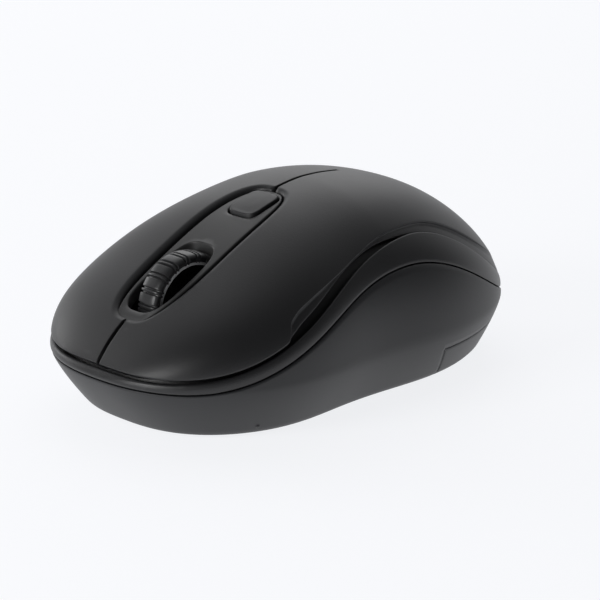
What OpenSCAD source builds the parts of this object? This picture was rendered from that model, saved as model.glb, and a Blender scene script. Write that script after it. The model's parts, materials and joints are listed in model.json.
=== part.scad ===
// Compact wireless computer mouse: rounded shell, two hinged buttons, tilting scroll wheel,
// sliding battery door and a stowed USB receiver.
// Millimetres. +Z up, +Y towards the buttons, origin on the resting plane under the body's centre.

/* [Body] */
// Overall length, tail to nose
body_l = 102; // [92:1:112]
// Overall width
body_w = 65; // [60:1:74]
// Overall height above the resting plane
body_h = 40; // [38.5:0.5:44]
// Height of the widest line round the body
belt_h = 11.5; // [10.5:0.1:12.5]
// How far the base draws in under the nose
tuck_nose = 7.8; // [5:0.1:9]
// How far the base draws in under the flanks
tuck_side = 5.9; // [4:0.1:7]
// How far the base draws in under the tail
tuck_tail = 4.7; // [3:0.1:6]
// Depth of the waist in each flank
waist = 2.9; // [0:0.1:3.5]
// Thickness of the low-friction feet
foot_t = 0.8; // [0.6:0.1:1.2]

/* [Walls] */
// Wall of the top cover and buttons
top_wall = 1.8; // [1.5:0.1:2.2]
// Depth of the middle frame's rim
frame_wall = 3.4; // [3.2:0.1:4]
// Thickness of the flange that closes the groove from inside
flange_t = 0.8; // [0.6:0.1:1]
// Height of the cover's lower edge above its seam line
seam_rise = 0.12; // [0.1:0.02:0.2]
// Room under a button's lower edge for its click
click_gap = 0.42; // [0.4:0.02:0.5]
// Wall of the base
base_wall = 1.8; // [1.5:0.1:2.2]
// Running gap round each button
button_gap = 0.3; // [0.2:0.05:0.5]

/* [Seams] */
// Height of the base seam where it peaks on the flank
seam_peak = 26.7; // [24:0.1:28]
// Height of the base seam at the nose
seam_nose = 10.9; // [10:0.1:11.5]
// Height of the frame's top edge where it peaks on the flank
band_peak = 31.6; // [30:0.1:32.5]
// Height of the frame's top edge at the nose
band_nose = 12.9; // [12:0.1:13.5]
// Height of both lines at the tail
seam_tail = 10.4; // [9.8:0.1:11]
// Open groove between the frame and the buttons
groove_w = 1.05; // [0.95:0.05:1.5]
// Extra groove width along the flank
groove_extra = 0.8; // [0:0.1:1.5]
// Gap between the base and the middle frame
seam_gap = 0.25; // [0.2:0.05:0.4]

/* [Centre strip] */
// Rear end of the centre strip
strip_rear = 3.4; // [2:0.1:5]
// Front end of the centre strip
strip_front = 42.8; // [41:0.1:43.5]
// Half width of the console in the strip
console_hw = 6.5; // [6:0.1:7]
// Gap between the console and the buttons
strip_gap = 0.9; // [0.6:0.1:1.2]
// How far the console lies below the buttons' surface
console_drop = 0.7; // [0.4:0.1:1.2]
// Half length of the speed key
key_hl = 4.1; // [3.5:0.1:4.5]
// Half width of the speed key
key_hw = 3.7; // [3:0.1:4]
// Centre of the speed key
key_y = 9; // [8.5:0.1:10]

/* [Scroll wheel] */
// Outer radius of the tyre
wheel_r = 10.4; // [9.5:0.1:10.8]
// Width of the tyre
wheel_w = 5.2; // [4.4:0.1:5.6]
// Wheel centre along the body
wheel_y = 27.6; // [27:0.1:28]
// Wheel centre above the resting plane
wheel_z = 20.6; // [20.2:0.1:21]
// Radius of the wheel's axle
axle_r = 1.2; // [1:0.05:1.4]
// Running clearance of the axle, on the radius
axle_clear = 0.06; // [0.03:0.01:0.1]

/* [Power] */
// Diameter of the battery cell
cell_d = 14.2; // [13.5:0.1:14.5]
// Length of the battery cell, contact to contact
cell_l = 50.2; // [49.2:0.1:50.5]
// Clearance round the cell
cell_clear = 0.3; // [0.2:0.05:0.5]
// Height of the door's upper edge on the flank
door_h = 7.6; // [7:0.1:8]
// Front edge of the door on the flank
door_y = -16.3; // [-19:0.1:-15]

/* [Receiver] */
// Width of the receiver's metal shell
usb_w = 12; // [11.9:0.05:12.1]
// Thickness of the receiver's metal shell
usb_t = 4.5; // [4.4:0.05:4.6]
// Length of the bare metal shell
usb_l = 12.6; // [11.8:0.1:13]
// Length of the receiver's cap
cap_l = 6.6; // [6:0.1:7.5]

/* [Hidden] */

eps = 0.02;
far = 200;

// ---- outer form ----
half_l = body_l / 2;
wide_y = 7;                 // station of the widest plan section
apex_y = -4.5;              // station of the highest point
peak_y = -6.7;              // station where the base seam peaks
band_y = -9.9;              // station where the frame's edge peaks
base_z = foot_t;            // underside of the base
end_nose = belt_h + 0.2;    // the crown's height at the nose
end_tail = belt_h + 0.1;    // the crown's height at the tail
hinge_y = -10;              // living hinge between the cover and the buttons
hinge_z = 35.5 + (body_h - 40);

function bump(y, at, spread) = exp(-pow((y - at) / spread, 2));
function smooth(t) = let (c = max(0, min(1, t))) c * c * (3 - 2 * c);
function plan_t(y) = y >= wide_y ? (y - wide_y) / (half_l - wide_y) : (wide_y - y) / (half_l + wide_y);
function half_width(y) =
    let (t = min(plan_t(y), 1), n = y >= wide_y ? 2.45 : 2.35)
    body_w / 2 * pow(1 - pow(t, n), 1 / n) - waist * bump(y, 3, 18) * (1 - pow(t, 4));
function top_z(y) =
    let (front = y >= apex_y,
         t = min(1, front ? (y - apex_y) / (half_l - apex_y) : (apex_y - y) / (half_l + apex_y)))
    front ? end_nose + (body_h - end_nose) * pow(1 - pow(t, 1.55), 0.69) - 1.5 * bump(y, 30, 14)
          : end_tail + (body_h - end_tail) * pow(1 - pow(t, 2.1), 0.65);
function side_power(y) = 2.5 + 0.7 * y / half_l;
function crown_power(y) = 2.65 + 0.65 * y / half_l;
function tuck(y) = let (t = y / half_l)
    tuck_side + ((t > 0 ? tuck_nose : tuck_tail) - tuck_side) * t * t;
function dome_z(x, y) =
    belt_h + (top_z(y) - belt_h)
    * pow(max(0, 1 - pow(abs(x) / half_width(y), side_power(y))), 1 / crown_power(y));

// Seam lines on the flank, as heights at each station
function swell(y, at, ahead, behind) = (1 + cos(180 * min(1, y > at ? (y - at) / ahead : (at - y) / behind))) / 2;
function seam_line(y, at, peak, nose, tail, ahead, behind) =
    let (low = y > at ? nose : tail) low + (peak - low) * swell(y, at, ahead, behind);
function base_seam(y) = seam_line(y, peak_y, seam_peak, seam_nose, seam_tail, 54.5, 47);
function band_seam(y) = seam_line(y, band_y, band_peak, band_nose, seam_tail, 59.5, 48.5);
function groove(y) = groove_w * smooth((y + 13) / 14)
    + groove_extra * smooth((28 - y) / 5) * smooth((y + 4) / 18);

// One closed section of the body at station parameter s (-1 tail, 1 nose), drawn in by d
LOW = [0, 0.12, 0.3, 0.55, 0.8];
function section(s, d, fine) =
    let (a = s * 89.2,
         y0 = wide_y + (s > 0 ? half_l - wide_y : half_l + wide_y) * sin(a),
         w = half_width(y0), e = 0.05,
         y1 = max(-half_l, y0 - e), y2 = min(half_l, y0 + e),
         slope = (half_width(y2) - half_width(y1)) / (y2 - y1),
         n = sqrt(1 + slope * slope), nx = 1 / n, ny = -slope / n,
         low = [for (f = LOW)
             let (off = tuck(y0) * pow(1 - f, 1.25) + d)
             [max(w - off * nx, 0.05), y0 - off * ny, max(f * belt_h, base_z + d)]],
         dome = [for (j = [0:fine])
             let (q = 90 * j / fine)
             [max((w - d * nx), 0.05) * pow(cos(q), 2 / side_power(y0)), y0 - d * ny,
              belt_h + max(top_z(y0) - belt_h - d, 0.02) * pow(sin(q), 2 / crown_power(y0))]],
         right = concat(low, dome))
    concat(right, [for (j = [len(right) - 2:-1:0]) [-right[j][0], right[j][1], right[j][2]]]);

// Solid body form, drawn in by d; rows stations along it and fine steps up its crown
module body_form(d = 0, rows = 36, fine = 10) {
    rings = [for (k = [0:rows]) section(-1 + 2 * k / rows, d, fine)];
    m = len(rings[0]);
    half = (m - 1) / 2;
    points = [for (ring = rings) each ring];
    skin = [for (k = [0:rows - 1]) for (j = [0:m - 1])
        let (a = k * m + j, b = k * m + (j + 1) % m) each [[a, b, b + m], [a, b + m, a + m]]];
    function cap(k, flip) = [for (j = [0:half - 1])
        let (a = k * m + j, b = a + 1, c = k * m + m - 1 - j, e = c - 1,
             f = b == e ? [a, b, c] : [a, b, e, c])
        flip ? [for (i = [len(f) - 1:-1:0]) f[i]] : f];
    polyhedron(points, concat(skin, cap(0, true), cap(rows, false)), convexity = 8);
}

// Space above (or below) a seam line, right across the body
module above(line, lift = 0, step = 3) {
    ys = [for (y = [-half_l - 3:step:half_l + 3]) y];
    rotate([90, 0, 90]) translate([0, 0, -far / 2]) linear_extrude(far)
        polygon(concat([for (y = ys) [y, lift + (line == 0 ? base_seam(y) : band_seam(y))
                        + (line == 2 ? groove(y) : 0)]],
                       [[half_l + 3, far], [-half_l - 3, far]]));
}

module slab(y1, y2, x1 = -far / 2, x2 = far / 2, z1 = -far / 2, z2 = far / 2)
    translate([x1, y1, z1]) cube([x2 - x1, y2 - y1, z2 - z1]);

// Rounded bar between two points
module bar(a, b, r = 0.6) hull() {
    translate(a) sphere(r, $fn = 8);
    translate(b) sphere(r, $fn = 8);
}

// Long rounded outline along Y, from y1 to y2, hw wide each side
module strip_outline(y1, y2, hw) {
    middle = (y1 + y2) / 2;
    reach = (y2 - y1) / 2;
    polygon([for (a = [0:7.5:359])
        [hw * sign(cos(a)) * pow(abs(cos(a)), 0.62), middle + reach * sign(sin(a)) * pow(abs(sin(a)), 0.62)]]);
}

// ---- places that several pieces share ----
floor_z = base_z + base_wall;          // inside floor of the base
board_z = floor_z + 2.4;               // underside of the main board
board_t = 1.2;
board_top = board_z + board_t;
board_rear = 11.8;
cell_z = floor_z + cell_d / 2 + 0.6;   // centre line of the cell
cell_front = 9;
cell_rear = cell_front - cell_l;
bay_hw = cell_d / 2 + cell_clear;
bay_wall = 3.2;
tongue_hw = bay_hw + 1.6;              // half width of the door's forward tongue
tongue_front = cell_front + 1.9;
door_clear = 0.15;
door_in = base_wall + 0.3;             // how far in the base runs above the door
contact_t = 0.4;
spring_rear = cell_rear - 3.9;

switch_x = 14;
switch_y = 33;
switch_l = 12.8;
switch_w = 5.8;
switch_h = 6.5;
switch_pins = [-5, 0, 5];
plunger_y = switch_y - 2.5;
plunger_h = 0.7;
tip_gap = 0.1;                         // rest gap between a pusher and its plunger

pivot_y = wheel_y + 11.4;              // carrier's hinge pins
pivot_z = 11.5;
arm_in = wheel_w / 2 + 0.8;            // inner face of each carrier arm
arm_t = 1.2;
pin_r = 1;
pusher_x = -9;                         // carrier foot above the middle switch
pusher_y = wheel_y - 5.6;
tact_w = 6;
tact_h = 3.5;
tact_r = 1.6;
tact_stroke = 0.9;
rim_r = wheel_r - 1.4;                 // seat of the tyre on the hub
beam_z = wheel_z - 6;
beam_x = arm_in + arm_t + 1.4;

slot_rear = 22.2;                      // opening in the console for the wheel
slot_front = 39.8;
slot_hw = 4.9;
console_wall = 1.6;
open_hw = console_hw + strip_gap;      // opening between the buttons
key_tilt = atan((top_z(key_y - 1) - top_z(key_y + 1)) / 2);
key_proud = 0.5;
key_clear = 0.25;

sensor_y = 17;
sensor_pins = [-4:2:4];
sensor_pin_y = 4.8;                    // the two rows of pins lie this far from its centre
led_y = sensor_y + 7.4;
led_pin_x = 0.76;
screws = [[19.3, 31, board_z, board_top + 8], [20, -12.4, 10, 24]];
screw_r = 1;
screw_head_r = 1.9;
screw_sink = 0.5;

power_x = -18.5;
power_y = 1;
power_travel = 2.5;
knob_l = 3.2;
knob_w = 2.4;

dock_x = 18.2;                         // the receiver's pocket
dock_y = 0;
dock_clear = 0.25;
cap_w = 15;
cap_t = 6.6;
dock_wall = 1.2;
usb_z = base_z + cap_l;
shell_t = 0.3;

dark = [0.17, 0.17, 0.175];
darker = [0.1, 0.1, 0.1];
metal = [0.78, 0.78, 0.76];
green = [0.1, 0.32, 0.2];

module at_key() translate([0, key_y, top_z(key_y)]) rotate([-key_tilt, 0, 0]) children();
module pair() for (side = [-1, 1]) scale([side, 1, 1]) children();

// ---- base ----
module door_region(clear = 0)
    rotate([90, 0, 90]) translate([0, 0, -far / 2]) linear_extrude(far)
        polygon([[-far, -far], [door_y - 2.6 - clear, -far], [door_y - clear, door_h - clear],
                 [-far, door_h - clear]]);

module base_cavity() {
    body_form(door_in + 1.2, 30, 6);
    difference() {
        body_form(base_wall, 30, 6);
        slab(-far, door_y + 1.5, z2 = door_h + 1.4);
    }
}

module dock_space() {
    translate([dock_x, dock_y, base_z + cap_l / 2])
        cube([cap_t + 2 * dock_clear, cap_w + 2 * dock_clear, cap_l + 0.6], center = true);
    translate([dock_x, dock_y, usb_z + usb_l / 2])
        cube([usb_t + 2 * dock_clear, usb_w + 2 * dock_clear, usb_l + 0.8], center = true);
    translate([dock_x - cap_t / 2, dock_y, base_z - 1]) cylinder(h = 3, r = 3.4, $fn = 32);
}

module base_shell() color(dark) {
    difference() {
        union() {
            difference() {
                body_form(0, 36, 8);
                above(0, -seam_gap, 1.5);
                difference() {
                    door_region(-door_clear);
                    body_form(door_in, 30, 6);
                }
                base_cavity();
            }
            // battery bay
            intersection() {
                slab(spring_rear - 1.6, cell_front + 2.2, -bay_hw - bay_wall, bay_hw + bay_wall,
                     floor_z - 0.1, cell_z);
                body_form(door_in + 0.1, 30, 6);
            }
            // receiver dock
            translate([dock_x, dock_y, floor_z + (usb_z + usb_l - floor_z) / 2 + 0.7])
                cube([usb_t + 2 * (dock_clear + dock_wall), usb_w + 2 * (dock_clear + dock_wall),
                      usb_z + usb_l - floor_z + 1.6], center = true);
            translate([dock_x, dock_y, floor_z + (usb_z + 1 - floor_z) / 2 - 0.1])
                cube([cap_t + 2 * (dock_clear + dock_wall), cap_w + 2 * (dock_clear + dock_wall),
                      usb_z + 1.4 - floor_z], center = true);
            // screw bosses with their gussets
            for (s = screws) pair() {
                translate([s[0], s[1], floor_z - 0.2]) cylinder(h = s[2] - floor_z + 0.2 - eps, r = 2.5, $fn = 32);
                bar([s[0] + 1, s[1], floor_z + 0.4], [s[0] + 4.5, s[1], floor_z], 0.5);
                bar([s[0], s[1] + 1, floor_z + 0.4], [s[0], s[1] + 4, floor_z], 0.5);
            }
            // brackets for the carrier's pins
            pair() slab(pivot_y - 2, pivot_y + 2, arm_in + arm_t + 0.4, arm_in + arm_t + 2.4,
                        floor_z - 0.1, pivot_z + 2);
            // board rests along the nose
            for (x = [-12, -4, 4, 12]) translate([x, 40, floor_z - 0.1])
                cylinder(h = board_z - floor_z + 0.1 - eps, r = 1.2, $fn = 24);
        }
        // the cell drops in from below, behind the door's tongue
        slab(spring_rear - contact_t, cell_front + contact_t + 0.1, -bay_hw, bay_hw, base_z - 1, cell_z + 1);
        slab(door_y - 6, tongue_front + door_clear, -tongue_hw - door_clear, tongue_hw + door_clear,
             base_z - 1, floor_z + door_clear);
        dock_space();
        // sensor window
        translate([0, sensor_y, base_z - 1]) linear_extrude(base_wall + 2)
            strip_outline(-4.5, 4.5, 3.6);
        // power switch slot
        slab(power_y - knob_l / 2 - 0.3, power_y + knob_l / 2 + power_travel + 0.3,
             power_x - knob_w / 2 - 0.3, power_x + knob_w / 2 + 0.3, base_z - 1, floor_z + 1);
        for (s = screws) pair() translate([s[0], s[1], base_z - 1]) {
            cylinder(h = far / 4, r = screw_r + 0.15, $fn = 24);
            cylinder(h = 1 + screw_sink + 1.5, r = screw_head_r + 0.2, $fn = 32);
        }
        pair() translate([arm_in + arm_t, pivot_y, pivot_z]) rotate([0, 90, 0])
            cylinder(h = 4, r = pin_r + axle_clear, $fn = 32);
    }
}

// ---- middle frame ----
// Lines that run round the body: 0 base seam, 1 frame's edge, 2 groove's upper edge
function line_z(line, y) = line == 0 ? base_seam(y) : band_seam(y) + (line == 2 ? groove(y) : 0);

// Last station towards one end at which a line still lies on the form drawn in by d
function line_end(line, lift, d, at, end, left = 40) =
    left == 0 ? at
    : let (mid = (at + end) / 2, z = line_z(line, mid) + lift)
      z < belt_h || top_z(mid) - d > z ? line_end(line, lift, d, mid, end, left - 1)
                                       : line_end(line, lift, d, at, mid, left - 1);

// Point of a line on the left flank, drawn in by d; f runs from 0 at the nose to 1 at the tail
function line_point(line, lift, d, f) =
    let (nose = line_end(line, lift, d, 0, half_l), tail = line_end(line, lift, d, 0, -half_l),
         y = nose + (tail - nose) * (1 - cos(180 * f)) / 2,
         z = line_z(line, y) + lift, w = half_width(y), e = 0.02,
         slope = (half_width(min(y + e, half_l)) - half_width(max(y - e, -half_l))) / (2 * e),
         n = sqrt(1 + slope * slope),
         off = z < belt_h ? tuck(y) * pow(1 - z / belt_h, 1.25) + d : d,
         rise = max(0, min(1, (z - belt_h) / max(0.01, top_z(y) - belt_h - d))),
         x = max(0, w - off / n) * pow(1 - pow(rise, crown_power(y)), 1 / side_power(y)))
    [f == 0 || f == 1 ? 0 : -x, y + off * slope / n, z];

// Closed ring round the body; each corner of its section is [line, lift, d]
module line_ring(corners, steps = 44) {
    m = len(corners);
    left = [for (i = [0:steps]) [for (c = corners) line_point(c[0], c[1], c[2], i / steps)]];
    right = [for (i = [steps - 1:-1:1]) [for (q = left[i]) [-q[0], q[1], q[2]]]];
    rings = concat(left, right);
    count = len(rings);
    polyhedron([for (ring = rings) each ring],
        [for (i = [0:count - 1]) for (j = [0:m - 1])
            let (a = i * m + j, b = i * m + (j + 1) % m, c = ((i + 1) % count) * m + j,
                 e = ((i + 1) % count) * m + (j + 1) % m)
            each [[a, b, e], [a, e, c]]], convexity = 6);
}

module mid_frame() color(dark) {
    inner = frame_wall - flange_t;
    line_ring([[0, 0.1, 0], [0, 0.8, 0], [1, -0.7, 0], [1, 0, 0], [1, 0, inner],
               [2, 0.4, inner], [2, 0.4, frame_wall], [0, 0.1, frame_wall]]);
    // posts that take the case screws
    for (s = screws) pair() {
        reach = frame_reach(s[1]);
        z = base_seam(s[1]) + 0.1;
        difference() {
            union() {
                translate([s[0], s[1], s[1] > 0 ? board_top + 0.05 : s[2]])
                    cylinder(h = z + 1.2 - (s[1] > 0 ? board_top + 0.05 : s[2]), r = 2.3, $fn = 24);
                slab(s[1] - 2, s[1] + 2, s[0], reach, z, z + 1.2);
            }
            translate([s[0], s[1], 0]) cylinder(h = s[3] + 0.5, r = screw_r + 0.02, $fn = 24);
        }
        bar([s[0], s[1] + 1.5, z - 2], [reach - 1, s[1] + 1.5, z + 0.4], 0.5);
        bar([s[0], s[1] - 1.5, z - 2], [reach - 1, s[1] - 1.5, z + 0.4], 0.5);
    }
}

// Half width of the frame's inner face at its web
function frame_reach(y) =
    let (rise = (base_seam(y) - belt_h) / (top_z(y) - belt_h))
    half_width(y) * pow(1 - pow(rise, crown_power(y)), 1 / side_power(y)) - frame_wall + 0.4;

// ---- top ----
module crown(d, gap = seam_rise, rows = 32, fine = 9)
    difference() {
        body_form(0, rows, fine);
        body_form(d, rows, fine);
        difference() {
            cube(far, center = true);
            above(2, gap);
        }
    }

// Rib across the underside of the crown at station y, from x1 to x2
module rib(y, x1, x2, r = 0.6)
    bar([x1, y, dome_z(x1, y) - top_wall - 0.2], [x2, y, dome_z(x2, y) - top_wall - 0.2], r);

module top_cover() color(dark) {
    intersection() {
        crown(top_wall);
        slab(-far, hinge_y - button_gap / 2);
    }
    for (y = [-40:6:-16]) for (side = [-1, 1]) rib(y, 1.5 * side, 9 * side);
}

module button() {
    difference() {
        intersection() {
            crown(top_wall, click_gap);
            slab(hinge_y + button_gap / 2, far, -far, -button_gap);
        }
        linear_extrude(far) strip_outline(strip_rear - strip_gap, strip_front + strip_gap, open_hw);
    }
    // pusher above the microswitch
    tip = board_top + switch_h + plunger_h + tip_gap;
    translate([-switch_x - 1.5, plunger_y - 1.6, tip])
        cube([3, 3.2, dome_z(switch_x, plunger_y) - top_wall - tip + 0.3]);
    for (y = [-4:5.5:42]) rib(y, -open_hw - 1.5, -open_hw - 9);
}
module left_button() color(dark) button();
module right_button() color(dark) scale([-1, 1, 1]) button();

module centre_console() color(dark) {
    difference() {
        intersection() {
            difference() {
                body_form(console_drop, 36, 10);
                body_form(console_drop + console_wall, 36, 10);
            }
            translate([0, 0, belt_h]) linear_extrude(far) strip_outline(strip_rear, strip_front, console_hw);
        }
        linear_extrude(far) strip_outline(slot_rear, slot_front, slot_hw);
        at_key() linear_extrude(20, center = true)
            translate([0, -key_y]) key_outline(key_clear);
    }
    // columns that stand on the main board, and hangers for the key's board
    pair() {
        bar([5.8, 17.8, board_top + 0.7], [5.8, 17.8, dome_z(5.8, 17.8) - console_drop - 1], 0.7);
        bar([2.5, 41.3, board_top + 0.7], [2.5, 41.3, dome_z(2.5, 41.3) - console_drop - 1], 0.7);
        at_key() for (y = [-1.4, 4.4])
            bar([4.65, y, -console_drop - 1], [4.65, y, key_stack + 0.6], 0.6);
    }
}

module key_outline(grow = 0) offset(delta = grow) strip_outline(key_y - key_hl, key_y + key_hl, key_hw);

module speed_key() color(dark) {
    difference() {
        intersection() {
            body_form(console_drop - key_proud, 36, 12);
            at_key() linear_extrude(20, center = true) translate([0, -key_y]) key_outline();
        }
        body_form(console_drop + 1.9, 36, 12);
    }
    at_key() translate([0, 0, -4.5]) cylinder(h = 2.6, r = 1.5, $fn = 32);
    // stiffening ribs under the cap
    at_key() for (a = [0:45:315])
        bar([1.2 * cos(a), 1.2 * sin(a), -2.9], [2.8 * cos(a), 3 * sin(a), -2.8], 0.3);
}

// ---- scroll wheel ----
module on_axle() translate([0, wheel_y, wheel_z]) rotate([0, 90, 0]) children();

module wheel_hub() color(darker) on_axle() {
    difference() {
        cylinder(h = wheel_w - 0.4, r = rim_r, center = true, $fn = 96);
        for (side = [-1, 1]) translate([0, 0, side * (wheel_w / 2 - 0.2)])
            cylinder(h = 3, r = rim_r - 0.9, center = true, $fn = 96);
        // light slots for the encoder
        for (a = [0:15:345]) rotate([0, 0, a]) translate([wheel_z - beam_z, 0, 0])
            cube([2.6, 0.8, wheel_w + 1], center = true);
    }
    cylinder(h = wheel_w - 0.6, r = 2.6, center = true, $fn = 48);
    cylinder(h = 2 * (arm_in + arm_t) + 0.4, r = axle_r, center = true, $fn = 48);
}

module wheel_tyre() color([0.2, 0.2, 0.2]) on_axle() {
    hw = wheel_w / 2;
    bulge = 6;
    difference() {
        rotate_extrude($fn = 120) intersection() {
            translate([wheel_r - bulge, 0]) circle(bulge, $fn = 96);
            translate([rim_r, -hw]) square([wheel_r, wheel_w]);
        }
        for (a = [0:20:340]) rotate([0, 0, a]) translate([wheel_r, 0, 0])
            cube([0.5, 0.4, wheel_w], center = true);
    }
}

// Flat link in a YZ plane, from one centre to another, r round each
module link(y1, z1, y2, z2, r, x, t) {
    a = atan2(z2 - z1, y2 - y1);
    translate([x, 0, 0]) rotate([90, 0, 90]) linear_extrude(t)
        polygon(concat([for (b = [90:15:270]) [y1 + r * cos(a + b), z1 + r * sin(a + b)]],
                       [for (b = [-90:15:90]) [y2 + r * cos(a + b), z2 + r * sin(a + b)]]));
}

module wheel_carrier() color([0.75, 0.75, 0.72]) {
    foot_z = board_top + tact_h + tact_stroke + tip_gap;
    difference() {
        union() {
            for (x = [-arm_in - arm_t, arm_in]) {
                link(pivot_y, pivot_z, wheel_y, wheel_z, 2.2, x, arm_t);
                translate([x + (x > 0 ? arm_t - 0.5 : -1.8), pivot_y, pivot_z]) rotate([0, 90, 0])
                    cylinder(h = 2.3, r = pin_r, $fn = 48);
            }
            link(wheel_y, wheel_z, pusher_y, foot_z + 1.6, 1.6, -arm_in - arm_t, arm_t);
            slab(pusher_y - 1.6, pusher_y + 1.6, pusher_x - 1, -arm_in - 0.5, foot_z, foot_z + 1.6);
            slab(pivot_y - 0.6, pivot_y + 0.9, -arm_in - 0.5, arm_in + 0.5, pivot_z - 1.6, pivot_z + 1.4);
        }
        on_axle() cylinder(h = 30, r = axle_r + axle_clear, center = true, $fn = 48);
    }
}

module detent_spring() color(metal) {
    wire = 0.3;
    translate([arm_in - wire, pivot_y - 3, pivot_z + 1.2]) {
        rotate([atan2(wheel_z - pivot_z - 3, -12.2), 0, 0]) rotate([-90, 0, 0])
            cylinder(h = 11, r = wire, $fn = 16);
    }
}

module ir_part(side) {
    translate([side * (beam_x + 1.2), wheel_y, beam_z]) {
        cube([2.4, 4.4, 5], center = true);
        translate([-side * 1.2, 0, 0]) sphere(0.9, $fn = 32);
    }
    for (y = [-1.27, 1.27])
        translate([side * (beam_x + 1.2) - 0.25, wheel_y + y - 0.25, board_top])
            cube([0.5, 0.5, beam_z - board_top]);
}
module ir_emitter() color([0.6, 0.5, 0.7]) ir_part(-1);
module ir_detector() color([0.15, 0.12, 0.15]) ir_part(1);

// ---- electronics ----
module main_board() color(green) difference() {
    translate([0, 0, board_z]) linear_extrude(board_t)
        polygon([[-21.6, board_rear], [21.6, board_rear], [21.6, 32], [13.4, 42.4], [-13.4, 42.4],
                 [-21.6, 32]]);
    translate([0, sensor_y, board_z - 1]) cylinder(h = 4, r = 2.4, $fn = 48);
    pair() translate([screws[0][0], screws[0][1], board_z - 1]) cylinder(h = 4, r = screw_r + 0.3, $fn = 32);
    pair() slab(pivot_y - 2.3, pivot_y + 2.3, arm_in + arm_t + 0.1, arm_in + arm_t + 2.7,
                board_z - 1, board_top + 1);
    // holes for the pins of the switches, the sensor and its LED
    pair() for (y = switch_pins) pin_hole(switch_x, switch_y + y);
    for (x = sensor_pins) for (side = [-1, 1]) pin_hole(x, sensor_y + side * sensor_pin_y);
    pair() pin_hole(led_pin_x, led_y + 3.6);
}
module pin_hole(x, y) translate([x, y, board_z]) cube([0.8, 0.9, 6], center = true);

module microswitch(side) {
    body = [switch_w, switch_l, switch_h];
    difference() {
        translate([side * switch_x - body[0] / 2, switch_y - body[1] / 2, board_top]) cube(body);
        translate([side * switch_x, plunger_y, board_top + switch_h])
            cube([1.6, 3.1, 2.4], center = true);
    }
    for (y = switch_pins) translate([side * switch_x - 0.3, switch_y + y - 0.3, board_z - 1])
        cube([0.6, 0.6, board_t + 1]);
}
module switch_tip(side)
    translate([side * switch_x, plunger_y, board_top + switch_h + plunger_h / 2 - 0.1])
        cube([1.2, 2.7, plunger_h + 0.2], center = true);
module left_microswitch() color(darker) microswitch(-1);
module right_microswitch() color(darker) microswitch(1);
module left_plunger() color("white") switch_tip(-1);
module right_plunger() color("white") switch_tip(1);

// Square tact switch standing on z = 0, and its round plunger
module tact_body() difference() {
    translate([-tact_w / 2, -tact_w / 2, 0]) cube([tact_w, tact_w, tact_h]);
    translate([0, 0, tact_h - 0.6]) cylinder(h = 1, r = tact_r + 0.1, $fn = 48);
}
module tact_tip() translate([0, 0, tact_h - 0.05]) cylinder(h = tact_stroke + 0.05, r = tact_r, $fn = 48);

module at_middle() translate([pusher_x, pusher_y, board_top]) children();
module middle_switch() color(darker) at_middle() tact_body();
module middle_plunger() color("white") at_middle() tact_tip();

key_stack = -4.5 - tip_gap - tact_stroke - tact_h;
module key_board() color(green) at_key() translate([-6, -6, key_stack - 1]) cube([12, 12, 1]);
module key_switch() color(darker) at_key() translate([0, 0, key_stack]) tact_body();
module key_plunger() color("white") at_key() translate([0, 0, key_stack]) tact_tip();

module optical_sensor() color(darker) {
    translate([-5, sensor_y - 5, board_top]) cube([10, 10, 2.6]);
    for (x = sensor_pins) for (side = [-1, 1])
        translate([x - 0.25, sensor_y + side * sensor_pin_y - 0.25, board_z - 0.8]) cube([0.5, 0.5, board_t + 1.8]);
}

module sensor_lens() color([0.85, 0.9, 0.95, 0.5]) {
    translate([-6, sensor_y - 4, floor_z + 0.05]) cube([12, 8, 1.4]);
    translate([0, sensor_y, floor_z - 1.2]) cylinder(h = 1.3, r = 3, $fn = 48);
    translate([0, sensor_y, floor_z + 1.4]) cylinder(h = board_top - floor_z - 1.5, r = 1.6, $fn = 48);
}

module sensor_led() color([0.9, 0.25, 0.2, 0.8]) translate([0, led_y, board_top + 1.7]) {
    rotate([-90, 0, 0]) cylinder(h = 4, r = 1.5, $fn = 32);
    translate([0, 0.02, 0]) sphere(1.45, $fn = 32);
    for (x = [-led_pin_x, led_pin_x]) translate([x - 0.2, 3.4, -3.4]) cube([0.4, 0.4, 3]);
}

module controller_chip() color(darker) {
    translate([10.5, 15, board_top + 0.1]) cube([6, 8, 1.4]);
    for (y = [0:5]) for (x = [9.9, 16.5])
        translate([x, 15.9 + 1.27 * y, board_top]) cube([0.6, 0.4, 0.8]);
}

module crystal() color(metal) translate([19, 15.5, board_top]) {
    for (y = [0, 6]) translate([0, y, 0]) cylinder(h = 3, r = 1.6, $fn = 32);
    translate([-1.6, 0, 0]) cube([3.2, 6, 3]);
}

module capacitors() color([0.12, 0.12, 0.2])
    for (y = [15, 22]) translate([-18, y, board_top]) cylinder(h = 5.5, r = 2.2, $fn = 48);

// ---- power ----
module battery_cell() color([0.75, 0.75, 0.78]) translate([0, cell_rear, cell_z]) rotate([-90, 0, 0]) {
    cylinder(h = cell_l - 1.2, r = cell_d / 2, $fn = 96);
    cylinder(h = cell_l, r = 2.6, $fn = 48);
}

// Conical contact spring, wound by a loop
coil_turns = 3;
coil_steps = 12;
coil_wire = 0.35;
coil_span = cell_rear - spring_rear - 2 * coil_wire - 0.1;
function coil_angle(i) = 360 * i / coil_steps;
function coil_point(i) =
    let (f = i / (coil_turns * coil_steps), r = 4.2 - 1.6 * f, a = coil_angle(i))
    [r * cos(a), spring_rear + coil_wire + 0.05 + coil_span * f, cell_z + r * sin(a)];
function coil_ring(i) = let (a = coil_angle(i)) [for (k = [0:5])
    coil_point(i) + coil_wire * [cos(60 * k) * cos(a), sin(60 * k), cos(60 * k) * sin(a)]];

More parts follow.
